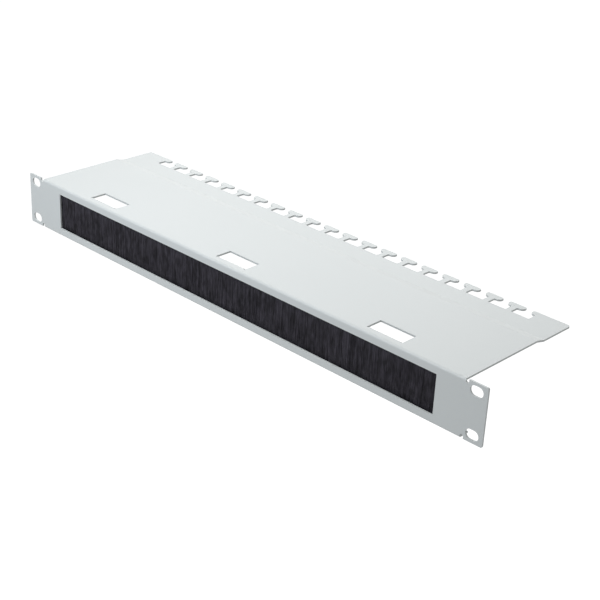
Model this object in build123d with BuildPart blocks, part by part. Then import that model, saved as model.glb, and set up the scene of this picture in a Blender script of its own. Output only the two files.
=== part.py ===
from build123d import *
from math import pi
import os

# A one-unit rack panel for cables: a folded sheet-steel front and tray with a strip brush behind its window.
# The origin is at the centre of the four rack slots, on the rear face of the front, which seats on the rack.
# +X runs to the right seen from the front, +Y to the rear, +Z up. All sizes are in millimetres.

# Sheet
SHEET = 1.4
BEND_INNER = 0.4

# Front
PANEL_WIDTH = 482.6
PANEL_HEIGHT = 43.65
EAR_WIDTH = 18.1
EAR_CORNER = 1.2
EAR_RISE = 0.55
SLOT_LENGTH = 10.5
SLOT_WIDTH = 7.5
SLOT_FROM_SIDE = 8.75
SLOT_FROM_EDGE = 5.95
RELIEF_WIDTH = 2.8
RELIEF_DEPTH = 3.0
RELIEF_CORNER = 1.2
WINDOW_RIM = 6.5
WINDOW_END = 22.85
WINDOW_CORNER = 0.6
FLANGE_DEPTH = 9.0

# Tray
TRAY_DEPTH = 117.0
TRAY_CORNER = 2.0
JOGGLE_START = 77.5
JOGGLE_RUN = 8.0
JOGGLE_DROP = 2.1

# Tie fingers along the tray's rear edge
FINGER_PITCH = 20.0
HEAD_WIDTH = 14.2
HEAD_DEPTH = 5.3
HEAD_CORNER = 1.5
HEAD_UNDER = 3.3
STEM_WIDTH = 4.6
NECK_FILLET = 1.1
FILLET_LIMIT = 0.9
NOTCH_DEPTH = 13.4
NOTCH_CORNER = 0.8
END_BLOCK = 22.5

# Tabs that clamp the brush
TAB_COUNT = 3
TAB_PITCH = 150.0
TAB_WIDTH = 28.2
TAB_CUT = 1.5
TAB_RELIEF = 0.2
HOLE_LENGTH = 14.5

# Strip brush
CHANNEL_WIDTH = 5.0
CHANNEL_HEIGHT = 4.8
CHANNEL_WALL = 0.8
CHANNEL_CORNER = 1.0
STRIP_OVERLAP = 11.0
WIRE_DIAMETER = 1.2
FIBRE_FIT = 0.05
BRISTLE_CLEARANCE = 0.3
BRISTLE_FLARE = 3.0
TIP_CLEARANCE = 1.5
BULGE = 0.45
RIDGE_PITCH = 3.0
RIDGE_RISE = 0.35

# Planes and edges that the sizes lead to. The folded body is as tall as the ears and sits a little lower.
top = PANEL_HEIGHT / 2 - EAR_RISE
bottom = top - PANEL_HEIGHT
front_face = -SHEET
bend_outer = BEND_INNER + SHEET
body_width = PANEL_WIDTH - 2 * EAR_WIDTH
tray_underside = top - SHEET
tray_rear = front_face + TRAY_DEPTH
rear_strip_top = top - JOGGLE_DROP
joggle_start = front_face + JOGGLE_START
flange_edge = front_face + FLANGE_DEPTH
window_width = body_width - 2 * WINDOW_END
window_top = top - WINDOW_RIM
window_bottom = bottom + WINDOW_RIM
slot_pitch_x = PANEL_WIDTH - 2 * SLOT_FROM_SIDE
slot_pitch_z = PANEL_HEIGHT - 2 * SLOT_FROM_EDGE
notch_count = int((body_width - 2 * END_BLOCK) / FINGER_PITCH)
tab_bend = CHANNEL_WIDTH - BEND_INNER
tab_leg = HOLE_LENGTH - TAB_CUT - pi / 2 * (BEND_INNER + SHEET / 2)
tab_tip = top - bend_outer - tab_leg
strip_length = window_width + 2 * STRIP_OVERLAP
channel_mouth = tray_underside - CHANNEL_HEIGHT
fibre_mid = CHANNEL_WIDTH / 2
fibre_half = fibre_mid - CHANNEL_WALL
wire_height = tray_underside - CHANNEL_WALL - FIBRE_FIT - fibre_half
mat_front = BRISTLE_CLEARANCE
mat_rear = CHANNEL_WIDTH - BRISTLE_CLEARANCE
mat_shoulder = channel_mouth - BRISTLE_FLARE
mat_tip = bottom + SHEET + TIP_CLEARANCE


class TieNotch(BaseSketchObject):
    """One notch between two tie fingers, with its mouth at the origin and its depth along -Y.

    The sides of the mouth are the ends of the two heads, which turn under in a large arc to their stems.
    """

    def __init__(self, rotation=0, align=None, mode=Mode.ADD):
        mouth = (FINGER_PITCH - HEAD_WIDTH) / 2
        base = (FINGER_PITCH - STEM_WIDTH) / 2
        neck = min(NECK_FILLET, FILLET_LIMIT * (base - mouth))
        under = min(HEAD_UNDER, FILLET_LIMIT * HEAD_DEPTH, FILLET_LIMIT * (base - mouth - neck))
        tip = min(HEAD_CORNER, FILLET_LIMIT * (HEAD_DEPTH - under))
        with BuildSketch() as notch:
            with BuildLine():
                Polyline((0, SHEET), (mouth + tip, SHEET), (mouth + tip, 0))
                end = CenterArc((mouth + tip, -tip), tip, 90, 90)
                belly = CenterArc((mouth + under, under - HEAD_DEPTH), under, 180, 90)
                Line(end @ 1, belly @ 0)
                turn = CenterArc((base - neck, -HEAD_DEPTH - neck), neck, 90, -90)
                Line(belly @ 1, turn @ 0)
                Line(turn @ 1, (base, NOTCH_CORNER - NOTCH_DEPTH))
                corner = CenterArc((base - NOTCH_CORNER, NOTCH_CORNER - NOTCH_DEPTH), NOTCH_CORNER, 0, -90)
                Line(corner @ 1, (0, -NOTCH_DEPTH))
                mirror(about=Plane.YZ)
            make_face()
        super().__init__(obj=notch.sketch, rotation=rotation, align=align, mode=mode)


def ridged_edge(width, depth, rise):
    """Draw a zigzag across a width at one depth, with ridges that rise along Y, and return its two ends."""
    count = round(width / RIDGE_PITCH)
    step = width / count / 2
    points = [(index * step - width / 2, depth + rise * (index % 2)) for index in range(2 * count + 1)]
    Polyline(*points)
    return points[0], points[-1]


# Panel: return flange, front and tray folded from one sheet, then the ears, cuts and tabs
with BuildPart() as panel:
    with BuildSketch(Plane.YZ):
        with BuildLine():
            FilletPolyline(
                (flange_edge, bottom),
                (front_face, bottom),
                (front_face, top),
                (joggle_start, top),
                (joggle_start + JOGGLE_RUN, rear_strip_top),
                (tray_rear, rear_strip_top),
                radius=[bend_outer, bend_outer, bend_outer, BEND_INNER],
            )
            offset(amount=SHEET, side=Side.RIGHT)
        make_face()
    extrude(amount=body_width / 2, both=True)

    # Ears, with a relief notch beside each end of the two bends
    with BuildSketch(Plane.XZ):
        ears = Rectangle(PANEL_WIDTH, PANEL_HEIGHT)
        fillet(ears.vertices(), EAR_CORNER)
        Rectangle(body_width, PANEL_HEIGHT, mode=Mode.SUBTRACT)
        with GridLocations(body_width + RELIEF_WIDTH, PANEL_HEIGHT, 2, 2):
            RectangleRounded(RELIEF_WIDTH, 2 * RELIEF_DEPTH, RELIEF_CORNER, mode=Mode.SUBTRACT)
    extrude(amount=SHEET)

    # Rack slots and the brush window
    with BuildSketch(Plane.XZ):
        with GridLocations(slot_pitch_x, slot_pitch_z, 2, 2):
            SlotOverall(SLOT_LENGTH, SLOT_WIDTH)
        with Locations((0, (window_top + window_bottom) / 2)):
            RectangleRounded(window_width, window_top - window_bottom, WINDOW_CORNER)
    extrude(amount=SHEET, mode=Mode.SUBTRACT)

    # Notches of the rear edge, and its two rounded corners
    with BuildSketch(Plane.XY.offset(top)):
        with Locations((0, tray_rear)):
            with GridLocations(FINGER_PITCH, 0, notch_count, 1):
                TieNotch()
    extrude(amount=-JOGGLE_DROP - SHEET, mode=Mode.SUBTRACT)
    rear_corners = panel.edges().filter_by(Axis.Z).group_by(Axis.Y)[-1].group_by(Axis.X)
    fillet(rear_corners[0] + rear_corners[-1], TRAY_CORNER)

    # Openings that the tabs were cut from, with a relief at each end of the bend
    with BuildSketch(Plane.XY.offset(top)):
        with GridLocations(TAB_PITCH, 0, TAB_COUNT, 1):
            with Locations((0, tab_bend + HOLE_LENGTH / 2)):
                Rectangle(TAB_WIDTH + 2 * TAB_CUT, HOLE_LENGTH)
            with Locations((0, tab_bend)):
                with GridLocations(TAB_WIDTH + TAB_CUT, 0, 2, 1):
                    Rectangle(TAB_CUT, 2 * TAB_RELIEF)
    extrude(amount=-SHEET, mode=Mode.SUBTRACT)

    # Tabs, bent down behind the brush channel
    tab_centres = [(index - (TAB_COUNT - 1) / 2) * TAB_PITCH for index in range(TAB_COUNT)]
    with BuildSketch(*[Plane.YZ.offset(centre) for centre in tab_centres]):
        with BuildLine():
            outer = CenterArc((tab_bend, top - bend_outer), bend_outer, 90, -90)
            inner = CenterArc((tab_bend, top - bend_outer), BEND_INNER, 90, -90)
            Line(outer @ 0, inner @ 0)
            Polyline(outer @ 1, (CHANNEL_WIDTH + SHEET, tab_tip), (CHANNEL_WIDTH, tab_tip), inner @ 1)
        make_face()
    extrude(amount=TAB_WIDTH / 2, both=True)

# Brush channel: a U strip that opens downwards, under the tray and behind the front's top rim
with BuildPart() as brush_channel:
    with BuildSketch(Plane.YZ):
        with BuildLine():
            FilletPolyline(
                (0, channel_mouth),
                (0, tray_underside),
                (CHANNEL_WIDTH, tray_underside),
                (CHANNEL_WIDTH, channel_mouth),
                radius=CHANNEL_CORNER,
            )
            offset(amount=CHANNEL_WALL, side=Side.RIGHT)
        make_face()
    extrude(amount=strip_length / 2, both=True)

# Core wire that the bristles are folded over
with BuildPart() as brush_core_wire:
    with BuildSketch(Plane.YZ):
        with Locations((fibre_mid, wire_height)):
            Circle(WIRE_DIAMETER / 2)
    extrude(amount=strip_length / 2, both=True)

# Bristles: folded over the wire, gripped by the channel, spreading below it and bulging into the window
with BuildPart() as brush_bristles:
    with BuildSketch(Plane.YZ):
        with BuildLine():
            fold = CenterArc((fibre_mid, wire_height), fibre_half, 180, -180)
            Polyline(
                fold @ 1,
                (fibre_mid + fibre_half, channel_mouth),
                (mat_rear - RIDGE_RISE, mat_shoulder),
                (mat_rear - RIDGE_RISE, mat_tip),
                (mat_front, mat_tip),
                (mat_front, mat_shoulder),
                (fibre_mid - fibre_half, channel_mouth),
                fold @ 0,
            )
        make_face()
        with Locations((fibre_mid, wire_height)):
            Circle(WIRE_DIAMETER / 2 + FIBRE_FIT, mode=Mode.SUBTRACT)
    extrude(amount=strip_length / 2, both=True)

    # Bundles that stand out along the rear of the mat
    with BuildSketch(Plane.XY.offset(mat_tip)):
        with BuildLine():
            left, right = ridged_edge(strip_length, mat_rear - RIDGE_RISE, RIDGE_RISE)
            Polyline(right, (strip_length / 2, fibre_mid), (-strip_length / 2, fibre_mid), left)
        make_face()
    extrude(amount=mat_shoulder - mat_tip)

    # Bundles that bulge forwards into the window
    bulge_width = window_width - 2 * BRISTLE_CLEARANCE
    bulge_bottom = window_bottom + BRISTLE_CLEARANCE
    bulge_top = min(window_top - BRISTLE_CLEARANCE, mat_shoulder)
    with BuildSketch(Plane.XY.offset(bulge_bottom)):
        with BuildLine():
            left, right = ridged_edge(bulge_width, mat_front - BULGE + RIDGE_RISE, -RIDGE_RISE)
            Polyline(right, (bulge_width / 2, fibre_mid), (-bulge_width / 2, fibre_mid), left)
        make_face()
    extrude(amount=bulge_top - bulge_bottom)

os.makedirs("parts", exist_ok=True)
panel.part.label = "panel"
export_step(panel.part, "parts/panel.step")
brush_channel.part.label = "brush_channel"
export_step(brush_channel.part, "parts/brush_channel.step")
brush_core_wire.part.label = "brush_core_wire"
export_step(brush_core_wire.part, "parts/brush_core_wire.step")
brush_bristles.part.label = "brush_bristles"
export_step(brush_bristles.part, "parts/brush_bristles.step")
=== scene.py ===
import bpy
import numpy as np
from mathutils import Matrix, Vector


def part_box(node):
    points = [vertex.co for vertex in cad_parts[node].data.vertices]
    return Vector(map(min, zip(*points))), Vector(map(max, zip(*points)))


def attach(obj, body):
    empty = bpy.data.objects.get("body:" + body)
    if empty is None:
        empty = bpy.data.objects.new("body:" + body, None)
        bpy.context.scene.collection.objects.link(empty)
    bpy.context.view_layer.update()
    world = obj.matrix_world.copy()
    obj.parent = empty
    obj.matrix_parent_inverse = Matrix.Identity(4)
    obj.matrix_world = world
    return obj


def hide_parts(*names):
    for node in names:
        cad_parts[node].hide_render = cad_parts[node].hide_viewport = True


# A one-unit rack panel with a strip brush behind its cable window. The frame is in metres, with +X to the
# right seen from the front, +Y to the rear and +Z up, and y = 0 on the rear face of the front.
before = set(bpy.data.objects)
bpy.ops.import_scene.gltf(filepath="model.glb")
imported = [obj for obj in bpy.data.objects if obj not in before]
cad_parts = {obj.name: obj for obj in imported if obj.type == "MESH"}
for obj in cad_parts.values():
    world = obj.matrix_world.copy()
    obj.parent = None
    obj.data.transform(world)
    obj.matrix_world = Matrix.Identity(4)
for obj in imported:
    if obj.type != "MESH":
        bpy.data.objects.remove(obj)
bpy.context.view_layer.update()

# Panel: one sheet of steel, punched, lanced and folded into the front, the tray and its tie fingers, then
# sprayed with a light grey powder that is baked to a satin skin, faintly cloudy, with a fine orange peel.
MM = 0.001
PAINT = (0.690, 0.722, 0.716, 1.0)
PAINT_THIN = (0.668, 0.702, 0.698, 1.0)
PAINT_GLOSS = 0.5
PAINT_ROUGHNESS = 0.42
CLOUD_SIZE = 60 * MM
CLOUD_DETAIL = 3.0
CLOUD_SHARE = 0.7
GRAIN_SIZE = 0.25 * MM
GRAIN_SHARE = 0.3
PEEL_SIZE = 1.3 * MM
PEEL_HEIGHT = 0.005 * MM
PEEL_ROUGHNESS = 0.08


class Signal:
    """A shader socket. Sums, differences and products of signals and numbers add Math nodes to its tree."""

    def __init__(self, tree, socket=None):
        self.tree = tree
        self.socket = socket

    def node(self, kind, settings=None, inputs=None, output=0):
        """Add a node, set its settings and then its inputs, and return one of its outputs."""
        made = self.tree.nodes.new("ShaderNode" + kind)
        for name, value in (settings or {}).items():
            setattr(made, name, value)
        for name, value in (inputs or {}).items():
            if isinstance(value, Signal):
                self.tree.links.new(value.socket, made.inputs[name])
            else:
                made.inputs[name].default_value = value
        return Signal(self.tree, made.outputs[output] if made.outputs else None)

    def maths(self, operation, first, second):
        return self.node("Math", {"operation": operation}, {0: first, 1: second})

    def __add__(self, other):
        return self.maths("ADD", self, other)

    __radd__ = __add__

    def __sub__(self, other):
        return self.maths("SUBTRACT", self, other)

    def __rsub__(self, other):
        return self.maths("SUBTRACT", other, self)

    def __mul__(self, other):
        return self.maths("MULTIPLY", self, other)

    __rmul__ = __mul__

    def blend(self, low, high):
        """The colour that lies between low and high by this signal's value."""
        return self.node("Mix", {"data_type": "RGBA"}, {0: self, 6: low, 7: high}, output=2)

    def noise(self, size, detail=2.0, stretch=(1, 1, 1)):
        """Noise with grains of one size, drawn out along each axis by its stretch."""
        scale = tuple(1 / (size * factor) for factor in stretch)
        place = self.node("Mapping", inputs={"Vector": self, "Scale": scale})
        return self.node("TexNoise", inputs={"Vector": place, "Scale": 1.0, "Detail": detail})

    def ramp(self, start, end, most):
        """A value that goes from 0 to most as this signal goes from start to end, level beyond them."""
        limits = {"From Min": start, "From Max": end, "To Max": most}
        return self.node("MapRange", inputs={"Value": self, **limits})

    def relief(self, height):
        """The normal of a surface whose bumps follow this signal up to a height."""
        return self.node("Bump", inputs={"Strength": 1.0, "Distance": height, "Height": self})


def new_finish(name):
    """A new material with an empty node tree, and its object coordinates to start from."""
    material = bpy.data.materials.new(name)
    material.use_nodes = True
    material.node_tree.nodes.clear()
    return material, Signal(material.node_tree).node("TexCoord", output="Object")


def set_finish(place, sockets):
    """End a material's tree with a Principled shader that has these sockets."""
    shader = place.node("BsdfPrincipled", inputs=sockets)
    place.node("OutputMaterial", inputs={"Surface": shader})


def dress(piece, material):
    """Give a piece one material in place of what it came with."""
    piece.data.materials.clear()
    piece.data.materials.append(material)


powder_coat, place = new_finish("powder_coat")
cloud = place.noise(CLOUD_SIZE, CLOUD_DETAIL)
grain = place.noise(GRAIN_SIZE)
peel = place.noise(PEEL_SIZE)
set_finish(place, {
    "Base Color": (CLOUD_SHARE * cloud + GRAIN_SHARE * grain).blend(PAINT_THIN, PAINT),
    "Roughness": PAINT_ROUGHNESS + PEEL_ROUGHNESS * peel,
    "Specular IOR Level": PAINT_GLOSS,
    "Normal": peel.relief(PEEL_HEIGHT),
})
dress(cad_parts["panel"], powder_coat)

# Core wire: drawn steel wire along the inside of the brush channel. The fibres are folded over it and it
# holds them down; the drawing die has left fine lines along it.
WIRE_DARK = (0.42, 0.42, 0.43, 1.0)
WIRE_BRIGHT = (0.56, 0.56, 0.57, 1.0)
WIRE_ROUGHNESS = 0.3
DIE_LINE = 0.08 * MM
DIE_LINE_STRETCH = (300, 1, 1)
DIE_LINE_ROUGHNESS = 0.2

drawn_steel, place = new_finish("drawn_steel")
lines = place.noise(DIE_LINE, stretch=DIE_LINE_STRETCH)
set_finish(place, {
    "Base Color": lines.blend(WIRE_DARK, WIRE_BRIGHT),
    "Metallic": 1.0,
    "Roughness": WIRE_ROUGHNESS + DIE_LINE_ROUGHNESS * lines,
})
dress(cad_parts["brush_core_wire"], drawn_steel)

# Bristles: black plastic fibres in three layers, each folded over the core wire so that both legs hang from
# the channel. They reach close to the front's rear face, sway a little and close up into tufts.
# Streaks of two widths run down them. They are painted a little paler at root and tip. This is painted
# light that lifts the shade cast by the window's top edge and the shade down by its sill.
FIBRES_IN_LAYER = 2480
FIBRE_RADIUS = 0.17 * MM
FIBRE_SIDES = 3
TIP_TAPER = 0.7
LAYERS = ("bristles_inner", "bristles_middle", "bristles_outer")
FOLD_TURNS = np.radians([180, 120, 60, 0])
LEG_STOPS = np.array([0.0, 0.085, 0.4, 0.7, 1.0])
LEG_BEND = 1.5
TUFT_PITCH = 2.2 * MM
TUFT_SINK = 0.2 * MM
TUFT_CLOSING = 0.15
TUFT_WAVE = 0.15 * MM
SWAY = 0.5 * MM
SWAY_PITCH = 7 * MM
STRAY = 0.25 * MM
TIP_SPREAD = 0.9 * MM
FACE_GAP = 0.08 * MM
FIBRE_DARK = (0.007, 0.006, 0.010, 1.0)
FIBRE_LIGHT = (0.047, 0.043, 0.056, 1.0)
FIBRE_GLOSS = 0.25
FIBRE_ROUGHNESS = 0.55
TUFT_SHARE = 0.7
STRAND_SHARE = 0.3
TONE_SHARE = 0.4
TONE_DROP = 1.91
SMUDGE_SIZE = 1.7 * MM
SMUDGE_STRETCH = (1, 1, 3.8)
SMUDGE_SHARE = 2.2
BAND_SIZE = 6.5 * MM
BAND_STRETCH = (1, 1, 2)
BAND_SHARE = 2.0
PAINTED_LIGHT_TIP_LENGTH = 12 * MM
PAINTED_LIGHT_TIP = 0.4
PAINTED_LIGHT_ROOT_LENGTH = 9 * MM
PAINTED_LIGHT_ROOT = 0.35
MAP_NAME = "OFBake"
MAP_EDGE = 0.1
DRAW_SEED = 482

draw = np.random.default_rng(DRAW_SEED)
mat_low, mat_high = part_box("brush_bristles")
channel_low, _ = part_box("brush_channel")
wire_low, wire_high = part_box("brush_core_wire")
strip_length = mat_high.x - mat_low.x
wire_y = (wire_low.y + wire_high.y) / 2
wire_z = (wire_low.z + wire_high.z) / 2
wire_radius = (wire_high.z - wire_low.z) / 2
half_turn = (FOLD_TURNS[0] - FOLD_TURNS[1]) / 2
fold_least = (wire_radius + FIBRE_RADIUS) / np.cos(half_turn)
fold_most = mat_high.z - wire_z - FIBRE_RADIUS
tufts = round(strip_length / TUFT_PITCH)


def tubes(name, lines, tone):
    """One mesh of closed tubes along lines, an array of (tube, stop, axis).

    At each stop a ring of points stands square to the line, smaller at both ends. tone holds a number for
    each tube, kept as an attribute, and the map gives each tube a cell of its own in a square grid.
    """
    count, stops, _ = lines.shape
    along = np.gradient(lines, axis=1)
    along /= np.linalg.norm(along, axis=2, keepdims=True)
    across = np.array([1.0, 0.0, 0.0]) - along * along[:, :, :1]
    across /= np.linalg.norm(across, axis=2, keepdims=True)
    outward = np.cross(along, across)
    angle = (np.arange(FIBRE_SIDES) * 2 * np.pi / FIBRE_SIDES)[:, None]
    ring = np.cos(angle) * across[:, :, None] + np.sin(angle) * outward[:, :, None]
    radius = np.full((stops, 1, 1), FIBRE_RADIUS)
    radius[[0, -1]] *= TIP_TAPER
    points = lines[:, :, None] + radius * ring

    index = np.arange(count * stops * FIBRE_SIDES).reshape(count, stops, FIBRE_SIDES)
    beside = np.roll(index, -1, axis=2)
    walls = np.stack([index[:, :-1], beside[:, :-1], beside[:, 1:], index[:, 1:]], axis=-1)
    caps = np.stack([index[:, 0, ::-1], index[:, -1]], axis=1)
    corners = np.concatenate([walls.ravel(), caps.ravel()])
    sizes = np.repeat([4, FIBRE_SIDES], [walls.size // 4, caps.size // FIBRE_SIDES])

    grid = int(np.ceil(np.sqrt(count)))
    cell = np.stack([np.arange(count) % grid, np.arange(count) // grid], axis=-1)
    wall_u = (np.arange(FIBRE_SIDES)[:, None] + [0, 1, 1, 0]) / FIBRE_SIDES
    wall_v = (np.arange(stops - 1)[:, None] + [0, 0, 1, 1]) / (stops - 1)
    wall_uv = np.stack(np.broadcast_arrays(wall_u[None], wall_v[:, None]), axis=-1)
    cap_uv = np.stack([np.eye(FIBRE_SIDES)[:, :2]] * 2)
    wall_uv = cell[:, None, None, None] + MAP_EDGE + (1 - 2 * MAP_EDGE) * wall_uv
    cap_uv = cell[:, None, None] + MAP_EDGE * cap_uv
    spots = np.concatenate([wall_uv.reshape(-1, 2), cap_uv.reshape(-1, 2)]) / grid

    mesh = bpy.data.meshes.new(name)
    mesh.vertices.add(index.size)
    mesh.vertices.foreach_set("co", points.ravel())
    mesh.loops.add(corners.size)
    mesh.loops.foreach_set("vertex_index", corners)
    mesh.polygons.add(sizes.size)
    mesh.polygons.foreach_set("loop_start", np.cumsum(sizes) - sizes)
    mesh.polygons.foreach_set("use_smooth", sizes == 4)
    mesh.uv_layers.new(name=MAP_NAME).data.foreach_set("uv", spots.ravel())
    mesh.update(calc_edges=True)
    shade = mesh.attributes.new("tone", "FLOAT", "POINT")
    shade.data.foreach_set("value", np.repeat(tone, stops * FIBRE_SIDES))
    piece = bpy.data.objects.new(name, mesh)
    bpy.context.scene.collection.objects.link(piece)
    return piece


def hanging_legs(root, fold, side, reach):
    """One leg of each fibre from the channel's mouth to its tip, as (fibre, stop, axis), and its tone.

    Below the mouth a leg moves out to its fold's share of the reach. Its drift grows with a power of the
    stop: the sway of its place along the strip, plus a part of the way to its tuft's middle.
    """
    knots = np.linspace(mat_low.x, mat_high.x, round(strip_length / SWAY_PITCH))
    sway = np.interp(root, knots, draw.normal(0, SWAY, knots.size))
    middles = mat_low.x + strip_length * (np.arange(tufts) + draw.random(tufts)) / tufts
    tuft = np.abs(root[:, None] - middles).argmin(axis=1)
    closing = TUFT_CLOSING * draw.random(tufts)[tuft] * (middles[tuft] - root)
    drift = sway + closing + draw.normal(0, STRAY, root.size)
    out = (reach - FIBRE_RADIUS) * fold / fold_most - TUFT_SINK * draw.random(tufts)[tuft]
    tip = mat_low.z + TIP_SPREAD * draw.random(root.size)
    flare = np.minimum(LEG_STOPS / LEG_STOPS[1], 1)
    wave = draw.normal(0, TUFT_WAVE, (tufts, LEG_STOPS.size))[tuft] * LEG_STOPS
    x = root[:, None] + drift[:, None] * LEG_STOPS ** LEG_BEND + wave
    y = wire_y + side * (fold[:, None] + (out - fold)[:, None] * flare)
    z = channel_low.z + (tip - channel_low.z)[:, None] * LEG_STOPS
    x = np.clip(x, mat_low.x + FIBRE_RADIUS, mat_high.x - FIBRE_RADIUS)
    return np.stack([x, y, z], axis=2), draw.random(tufts)[tuft]


def folded_layer(name, low, high):
    """Fibres at even steps along the strip, folded over the wire with radii from low to high.

    Each line runs up the front leg, over the wire in an arc about it, and down the rear leg.
    """
    step = np.arange(FIBRES_IN_LAYER) + draw.random(FIBRES_IN_LAYER)
    root = mat_low.x + FIBRE_RADIUS + (strip_length - 2 * FIBRE_RADIUS) * step / FIBRES_IN_LAYER
    fold = low + (high - low) * draw.random(FIBRES_IN_LAYER)
    front, tone = hanging_legs(root, fold, -1, wire_y - FACE_GAP)
    rear, _ = hanging_legs(root, fold, 1, mat_high.y - wire_y)
    crown_y = wire_y + fold[:, None] * np.cos(FOLD_TURNS)
    crown_z = wire_z + fold[:, None] * np.sin(FOLD_TURNS)
    crown = np.stack(np.broadcast_arrays(root[:, None], crown_y, crown_z), axis=2)
    lines = np.concatenate([front[:, ::-1], crown, rear], axis=1)
    return tubes(name, lines, TUFT_SHARE * tone + STRAND_SHARE * draw.random(FIBRES_IN_LAYER))


fibre_plastic, place = new_finish("fibre_plastic")
tone = place.node("Attribute", {"attribute_name": "tone"}, output="Fac")
smudge = place.noise(SMUDGE_SIZE, stretch=SMUDGE_STRETCH)
band = place.noise(BAND_SIZE, stretch=BAND_STRETCH)
height = place.node("SeparateXYZ", inputs={"Vector": place}, output="Z")
# Painted light: the fibre colour is made paler towards the tips and just below the channel's mouth, where
# the window's edges shade the fibres.
painted_light_tip = height.ramp(mat_low.z + PAINTED_LIGHT_TIP_LENGTH, mat_low.z, PAINTED_LIGHT_TIP)
painted_light_root = height.ramp(channel_low.z - PAINTED_LIGHT_ROOT_LENGTH, channel_low.z, PAINTED_LIGHT_ROOT)
shade = TONE_SHARE * tone + SMUDGE_SHARE * smudge + BAND_SHARE * band + painted_light_tip + painted_light_root - TONE_DROP
set_finish(place, {
    "Base Color": shade.blend(FIBRE_DARK, FIBRE_LIGHT),
    "Roughness": FIBRE_ROUGHNESS,
    "Specular IOR Level": FIBRE_GLOSS,
})
folds = np.linspace(fold_least, fold_most, len(LAYERS) + 1)
for name, low, high in zip(LAYERS, folds, folds[1:]):
    layer = folded_layer(name, low, high)
    dress(layer, fibre_plastic)
    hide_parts("brush_bristles")
    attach(layer, "root")

# Brush channel: zinc-plated steel strip, rolled into a U and pressed shut on the fibres. The tray's three
# tabs clamp it against the back of the front, and the rolls have left fine lines along it.
ZINC_DULL = (0.50, 0.51, 0.53, 1.0)
ZINC_BRIGHT = (0.60, 0.61, 0.63, 1.0)
ZINC_ROUGHNESS = 0.28
ROLL_LINE = 0.15 * MM
ROLL_LINE_STRETCH = (200, 1, 1)
ROLL_LINE_HEIGHT = 0.01 * MM
ROLL_LINE_SHARE = 0.5
ROLL_LINE_ROUGHNESS = 0.12
SPANGLE_SIZE = 6 * MM
SPANGLE_SHARE = 0.5
SPANGLE_ROUGHNESS = 0.1

zinc_plate, place = new_finish("zinc_plate")
lines = place.noise(ROLL_LINE, stretch=ROLL_LINE_STRETCH)
spangle = place.noise(SPANGLE_SIZE)
set_finish(place, {
    "Base Color": (ROLL_LINE_SHARE * lines + SPANGLE_SHARE * spangle).blend(ZINC_DULL, ZINC_BRIGHT),
    "Metallic": 1.0,
    "Roughness": ZINC_ROUGHNESS + ROLL_LINE_ROUGHNESS * lines + SPANGLE_ROUGHNESS * spangle,
    "Normal": lines.relief(ROLL_LINE_HEIGHT),
})
dress(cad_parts["brush_channel"], zinc_plate)

# Stage: a plain white floor well below the panel, which a rack would hold in the air, soft lamps and the
# camera at the photograph's angle. Floor and sky are pure white only to the camera and in reflections.
FLOOR_DROP = 0.5
FLOOR_SIZE = 40.0
FLOOR_COLOUR = (0.85, 0.85, 0.85, 1.0)
FLOOR_SHADE = (0.4, 0.4, 0.4, 1.0)
FLOOR_GLOW = 0.9
SKY_STRENGTH = 0.35
SKY_SHOWN = 1.03
WHITE = (1.0, 1.0, 1.0, 1.0)
LAMPS = (
    ("lamp_top", (-0.20, -0.25, 0.65), 0.5, 2.68, (1.0, 1.0, 1.0)),
    ("lamp_rear", (-0.10, 0.70, 0.35), 0.6, 1.12, (1.0, 1.0, 1.0)),
    ("lamp_rear_left", (-0.55, 0.60, 0.35), 0.6, 1.06, (1.0, 1.0, 1.0)),
    ("lamp_front", (-0.20, -0.50, 0.25), 0.4, 0.93, (0.79, 0.88, 1.0)),
)
AZIMUTH, ELEVATION, ROLL = np.radians([43.142, 26.064, 2.840])
CAMERA_DISTANCE = 976.835 * MM
CAMERA_RIGHT = 56.228 * MM
CAMERA_UP = -6.609 * MM
LENS = 79.399
SENSOR = 36.0


def seen_directly(start):
    """1 for rays from the camera, off a mirror or through glass, and 0 for light that scatters."""
    kinds = ("Is Camera Ray", "Is Glossy Ray", "Is Transmission Ray")
    camera, glossy, through = [start.node("LightPath", output=kind) for kind in kinds]
    return camera + glossy + through


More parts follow.
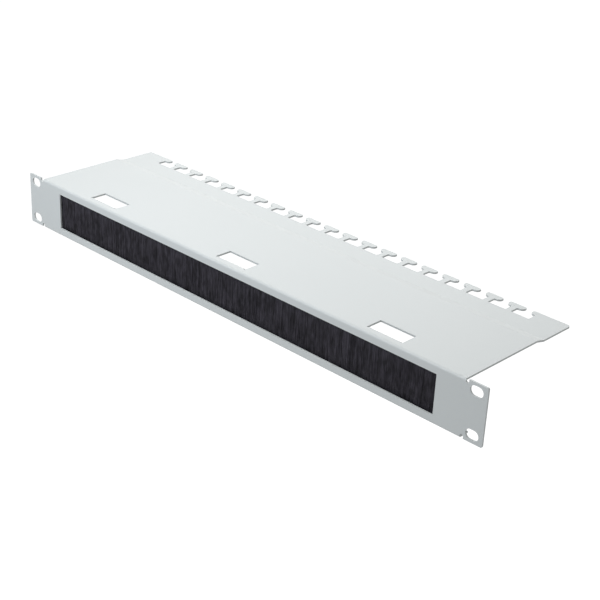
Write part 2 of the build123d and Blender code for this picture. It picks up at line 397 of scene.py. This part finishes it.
panel_low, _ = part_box("panel")
half = FLOOR_SIZE / 2
level = panel_low.z - FLOOR_DROP
floor_mesh = bpy.data.meshes.new("floor")
floor_corners = ((-half, -half), (half, -half), (half, half), (-half, half))
floor_mesh.from_pydata([(x, y, level) for x, y in floor_corners], [], [(0, 1, 2, 3)])
floor = bpy.data.objects.new("floor", floor_mesh)
bpy.context.scene.collection.objects.link(floor)
floor_paint, place = new_finish("floor_paint")
scattered = place.node("BsdfDiffuse", inputs={"Color": FLOOR_COLOUR})
shaded = place.node("BsdfDiffuse", inputs={"Color": FLOOR_SHADE})
glow = place.node("Emission", inputs={"Color": WHITE, "Strength": FLOOR_GLOW})
seen = place.node("AddShader", inputs={0: shaded, 1: glow})
surface = place.node("MixShader", inputs={0: seen_directly(place), 1: scattered, 2: seen})
place.node("OutputMaterial", inputs={"Surface": surface})
dress(floor, floor_paint)

world = bpy.data.worlds.new("studio")
bpy.context.scene.world = world
world.use_nodes = True
world.node_tree.nodes.clear()
start = Signal(world.node_tree)
sky = start.node("Background", inputs={"Color": WHITE, "Strength": SKY_STRENGTH})
blank = start.node("Background", inputs={"Color": WHITE, "Strength": SKY_SHOWN})
shown = start.node("MixShader", inputs={0: seen_directly(start), 1: sky, 2: blank})
start.node("OutputWorld", inputs={"Surface": shown})

for name, spot, size, power, colour in LAMPS:
    light = bpy.data.lights.new(name, "AREA")
    light.shape = "DISK"
    light.size = size
    light.energy = power
    light.color = colour
    lamp = bpy.data.objects.new(name, light)
    aim = (-Vector(spot)).to_track_quat("-Z", "Y").to_matrix().to_4x4()
    lamp.matrix_world = Matrix.Translation(spot) @ aim
    lamp.visible_camera = False
    bpy.context.scene.collection.objects.link(lamp)

level_right = Vector((np.cos(AZIMUTH), np.sin(AZIMUTH), 0))
level_back = Vector((np.sin(AZIMUTH), -np.cos(AZIMUTH), 0))
back = level_back * np.cos(ELEVATION) + Vector((0, 0, np.sin(ELEVATION)))
level_up = back.cross(level_right)
right = level_right * np.cos(ROLL) + level_up * np.sin(ROLL)
up = level_up * np.cos(ROLL) - level_right * np.sin(ROLL)
spot = Vector((0, panel_low.y, 0)) + right * CAMERA_RIGHT + up * CAMERA_UP + back * CAMERA_DISTANCE
lens = bpy.data.cameras.new("camera")
lens.lens = LENS
lens.sensor_width = SENSOR
camera = bpy.data.objects.new("camera", lens)
camera.matrix_world = Matrix.Translation(spot) @ Matrix((right, up, back)).transposed().to_4x4()
bpy.context.scene.collection.objects.link(camera)
bpy.context.scene.camera = camera
bpy.context.scene.view_settings.view_transform = "Standard"
